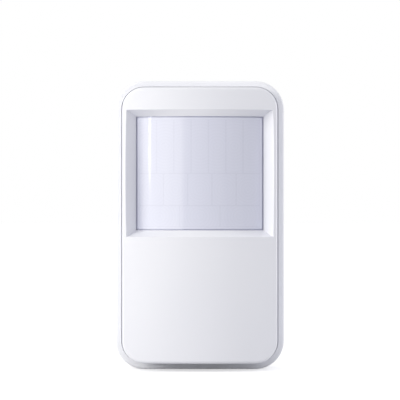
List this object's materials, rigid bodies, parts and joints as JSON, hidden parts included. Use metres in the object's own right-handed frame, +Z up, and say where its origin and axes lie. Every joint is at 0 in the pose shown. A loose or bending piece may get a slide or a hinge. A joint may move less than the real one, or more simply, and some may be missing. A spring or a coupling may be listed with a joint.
{
  "type": "motion sensor",
  "caption": "Wall-mounted passive infrared motion sensor: white two-part case with rounded corners, curved lens in a bevelled window, board and battery inside.",
  "frame": {"origin": "middle of the flat back face, which lies on the wall", "axes": "+Z up the wall, +X to the right for someone facing the sensor, +Y into the wall, so the lens faces -Y"},
  "size_m": [0.062, 0.042, 0.106],
  "materials": {
    "base_plastic": "satin",
    "cover_plastic": "satin",
    "lens_plastic": "satin",
    "retainer_plastic": "matte",
    "screw_steel": "zinc plated",
    "board_laminate": "solder resist",
    "spacer_plastic": "matte",
    "sensor_metal": "satin",
    "tinned_metal": "bright",
    "filter_window": "gloss",
    "sensor_ceramic": "matte",
    "lamp_lens": "tinted, clear",
    "black_plastic": "matte",
    "plunger_plastic": "matte",
    "cell_sleeve": "semi-gloss sleeve",
    "contact_metal": "nickel plated",
    "antenna_wire": "enamelled copper",
    "shield_metal": "tinned",
    "chip_plastic": "matte",
    "capacitor_metal": "satin",
    "gold_plate": "plated",
    "cap_plastic": "matte",
    "resistor_body": "matte",
    "chip_ceramic": "matte"
  },
  "bodies": {
    "root": {"rear_base": "base_plastic", "front_cover": "cover_plastic", "fresnel_lens": "lens_plastic", "lens_retainer": "retainer_plastic", "cover_screw": "screw_steel", "circuit_board": "board_laminate", "board_screws": "screw_steel", "sensor_spacer": "spacer_plastic", "sensor_header": "sensor_metal", "sensor_pins": "tinned_metal", "sensor_can": "sensor_metal", "sensor_filter": "filter_window", "sensor_element": "sensor_ceramic", "status_lamp": "lamp_lens", "lamp_leads": "tinned_metal", "tamper_switch": "black_plastic", "tamper_plunger": "plunger_plastic", "battery_holder": "black_plastic", "battery_cell": "cell_sleeve", "battery_terminal": "contact_metal", "battery_leaf": "contact_metal", "battery_spring": "contact_metal", "antenna_coil": "antenna_wire", "radio_board": "board_laminate", "radio_shield": "shield_metal", "microcontroller": "chip_plastic", "microcontroller_legs": "tinned_metal", "amplifier": "chip_plastic", "amplifier_legs": "tinned_metal", "crystal": "shield_metal", "storage_capacitor": "capacitor_metal", "jumper_header": "black_plastic", "jumper_pins": "gold_plate", "jumper_cap": "cap_plastic", "chip_resistors": "resistor_body", "chip_capacitors": "chip_ceramic"}
  },
  "joints": []
}
